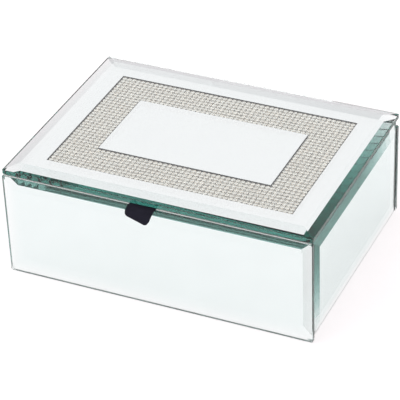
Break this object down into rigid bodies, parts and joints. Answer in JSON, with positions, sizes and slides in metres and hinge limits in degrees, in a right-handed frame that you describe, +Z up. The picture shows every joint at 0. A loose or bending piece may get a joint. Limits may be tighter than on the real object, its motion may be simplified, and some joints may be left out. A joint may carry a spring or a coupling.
{
  "type": "vanity trinket box",
  "caption": "Rectangular bevelled mirror-glass trinket box with a hinged lid, a ring of rhinestones under the lid glass, a ribbon pull tab and a black velvet lined compartment.",
  "frame": {"origin": "centre of the closed glass box's footprint, on the surface it stands on", "axes": "+Z up, the front with the pull tab faces -Y, the hinges are at +Y, +X is along the box's long side"},
  "size_m": [0.203, 0.167, 0.0775],
  "materials": {
    "mirror_glass": "polished float glass, silvered behind, ground bevel",
    "board": "fibreboard wrapped in black flock paper",
    "felt": "black felt",
    "velvet": "black velvet",
    "ribbon": "blue-black velvet ribbon",
    "crystal": "faceted clear glass stones",
    "stone_mesh": "silver-plated setting mesh",
    "hinge_metal": "nickel plated steel"
  },
  "bodies": {
    "box": {"front_mirror": "mirror_glass", "back_mirror": "mirror_glass", "left_mirror": "mirror_glass", "right_mirror": "mirror_glass", "front_wall": "board", "back_wall": "board", "left_wall": "board", "right_wall": "board", "base_board": "board", "underside_felt": "felt", "front_liner": "velvet", "back_liner": "velvet", "left_liner": "velvet", "right_liner": "velvet", "floor_pad": "velvet", "left_hinge_body_leaf": "hinge_metal", "left_hinge_pin": "hinge_metal", "right_hinge_body_leaf": "hinge_metal", "right_hinge_pin": "hinge_metal", "body_hinge_screws": "hinge_metal"},
    "lid": {"lid_mirror": "mirror_glass", "rhinestone_mesh": "stone_mesh", "rhinestones": "crystal", "lid_board": "board", "lid_lining": "velvet", "lid_hinge_screws": "hinge_metal", "pull_tab": "ribbon", "left_hinge_lid_leaf": "hinge_metal", "right_hinge_lid_leaf": "hinge_metal"}
  },
  "joints": [
    {"name": "lid_hinge", "type": "hinge", "parent": "box", "child": "lid", "pos_m": [0, 0.0746, 0.0672], "axis": [-1, 0, 0], "range_deg": [0, 100]}
  ]
}
